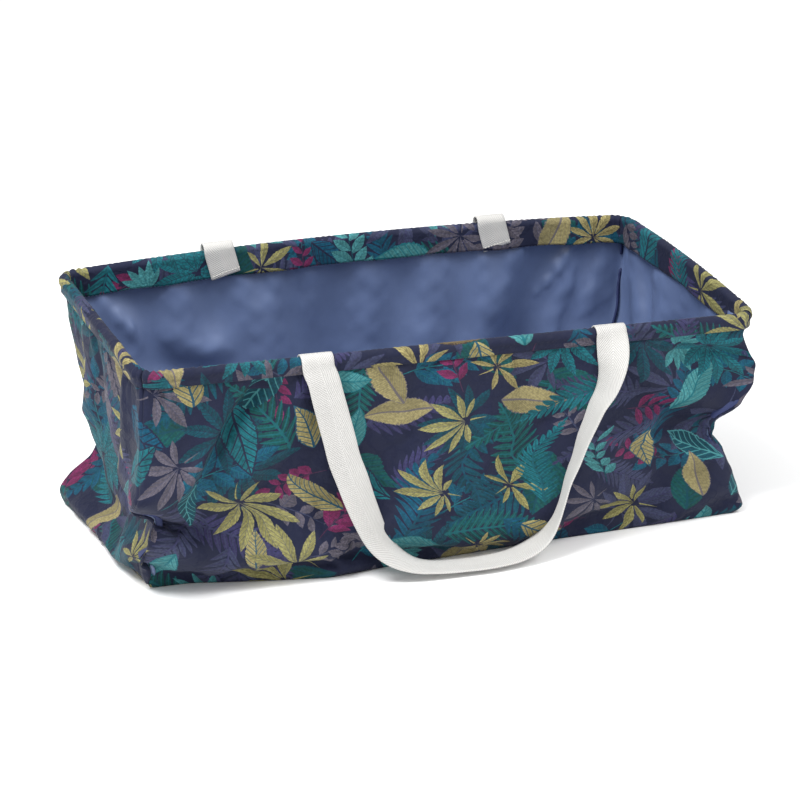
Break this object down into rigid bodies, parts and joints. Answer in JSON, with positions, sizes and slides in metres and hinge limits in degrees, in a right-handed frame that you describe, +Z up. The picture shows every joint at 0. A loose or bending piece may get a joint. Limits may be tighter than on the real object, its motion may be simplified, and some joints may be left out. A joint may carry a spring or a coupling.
{
  "type": "foldable tote bag",
  "caption": "Open rectangular fabric carrying bag on a steel wire rim, with two webbing handles; it stands slack on its base and folds flat by letting the rim down.",
  "frame": {"origin": "middle of the base, on the surface that the bag stands on", "axes": "+X along the length to the right, +Y to the back, +Z up"},
  "size_m": [0.5771, 0.3461, 0.2342],
  "materials": {
    "printed_cloth": "plain woven cloth printed with leaves on navy",
    "coated_lining": "slate blue coated lining, semi-gloss",
    "cotton_webbing": "off-white herringbone webbing, matte",
    "binding_tape": "navy folded tape, matte",
    "spring_steel": "drawn wire",
    "ferrule_metal": "crimped tube",
    "white_thread": "sewing thread",
    "navy_thread": "sewing thread"
  },
  "bodies": {
    "bag_body": {"back_left_seam_binding": "binding_tape", "back_lining": "coated_lining", "back_panel": "printed_cloth", "back_right_seam_binding": "binding_tape", "base_lining": "coated_lining", "base_panel": "printed_cloth", "front_left_seam_binding": "binding_tape", "front_lining": "coated_lining", "front_panel": "printed_cloth", "front_right_seam_binding": "binding_tape", "left_end_lining": "coated_lining", "left_end_panel": "printed_cloth", "right_end_lining": "coated_lining", "right_end_panel": "printed_cloth"},
    "rim": {"back_band": "printed_cloth", "back_hem_stitching": "navy_thread", "back_left_tab": "cotton_webbing", "back_left_tab_stitching": "white_thread", "back_right_tab": "cotton_webbing", "back_right_tab_stitching": "white_thread", "front_band": "printed_cloth", "front_hem_stitching": "navy_thread", "front_left_tab": "cotton_webbing", "front_left_tab_stitching": "white_thread", "front_right_tab": "cotton_webbing", "front_right_tab_stitching": "white_thread", "left_end_band": "printed_cloth", "left_end_hem_stitching": "navy_thread", "right_end_band": "printed_cloth", "right_end_hem_stitching": "navy_thread", "rim_wire": "spring_steel", "wire_ferrule": "ferrule_metal"},
    "front_handle": {"front_handle_webbing": "cotton_webbing"},
    "back_handle": {"back_handle_webbing": "cotton_webbing"}
  },
  "joints": [
    {"name": "collapse", "type": "slide", "parent": "bag_body", "child": "rim", "axis": [0, 0, -1], "range_m": [0, 0.15], "deforming": ["front_panel", "right_end_panel", "back_panel", "left_end_panel", "front_lining", "right_end_lining", "back_lining", "left_end_lining", "front_left_seam_binding", "front_right_seam_binding", "back_right_seam_binding", "back_left_seam_binding"]},
    {"name": "front_handle_swing", "type": "hinge", "parent": "rim", "child": "front_handle", "pos_m": [0, -0.121, 0.20085], "axis": [0.9997, 0, -0.0258], "range_deg": [-195, 0]},
    {"name": "back_handle_swing", "type": "hinge", "parent": "rim", "child": "back_handle", "pos_m": [0, 0.121, 0.2332], "axis": [-1, 0, 0.0091], "range_deg": [-195, 0]}
  ]
}
